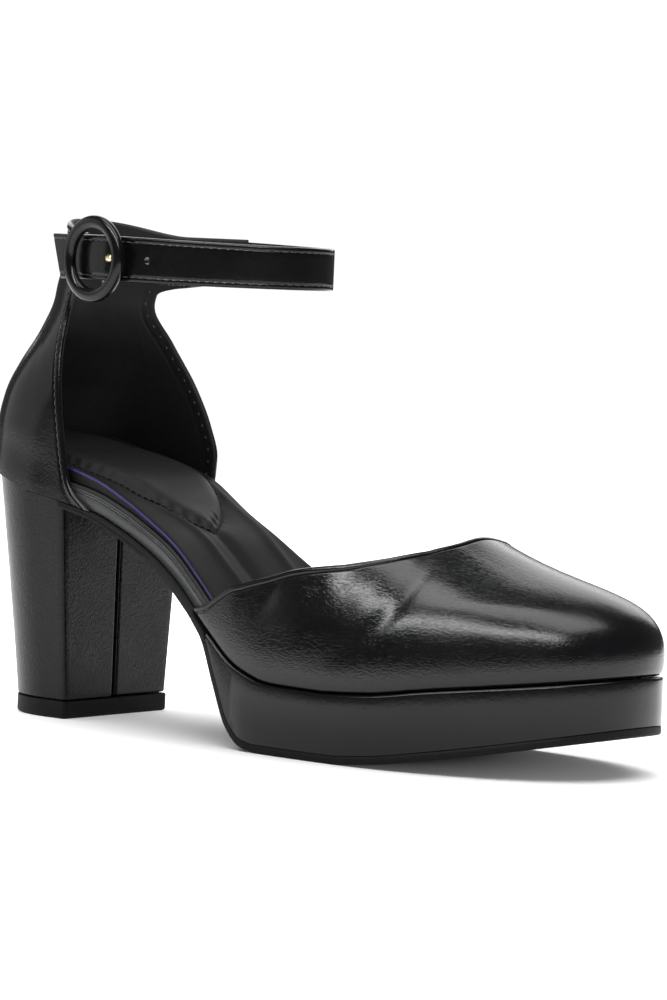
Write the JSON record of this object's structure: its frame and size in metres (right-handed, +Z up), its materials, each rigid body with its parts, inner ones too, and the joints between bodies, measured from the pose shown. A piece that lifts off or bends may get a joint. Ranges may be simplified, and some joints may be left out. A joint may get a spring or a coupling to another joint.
{
  "type": "ankle strap pump",
  "caption": "Closed-toe ankle strap pump with a high block heel, a low platform, open waist sides, a round covered buckle and a padded heel seat.",
  "frame": {"origin": "centre of the top piece's floor face, on the floor under the heel", "axes": "+X along the shoe towards the toe, +Y to the medial side, +Z up"},
  "size_m": [0.2403, 0.085, 0.1567],
  "materials": {
    "gloss_leather": "glossy black",
    "heel_leather": "black, half gloss with fine grain",
    "insole_leather": "black, soft satin",
    "sole_rubber": "black, matte",
    "pale_gold": "pale gold, polished"
  },
  "bodies": {
    "root": {"outsole": "sole_rubber", "platform": "gloss_leather", "insole_board": "gloss_leather", "insole": "insole_leather", "heel_pad": "insole_leather", "heel_block": "heel_leather", "top_piece": "sole_rubber", "vamp": "gloss_leather", "quarter": "gloss_leather", "ankle_strap": "gloss_leather", "buckle_chape": "gloss_leather", "buckle_ring": "gloss_leather", "buckle_bar": "pale_gold", "buckle_prong": "pale_gold"}
  },
  "joints": []
}
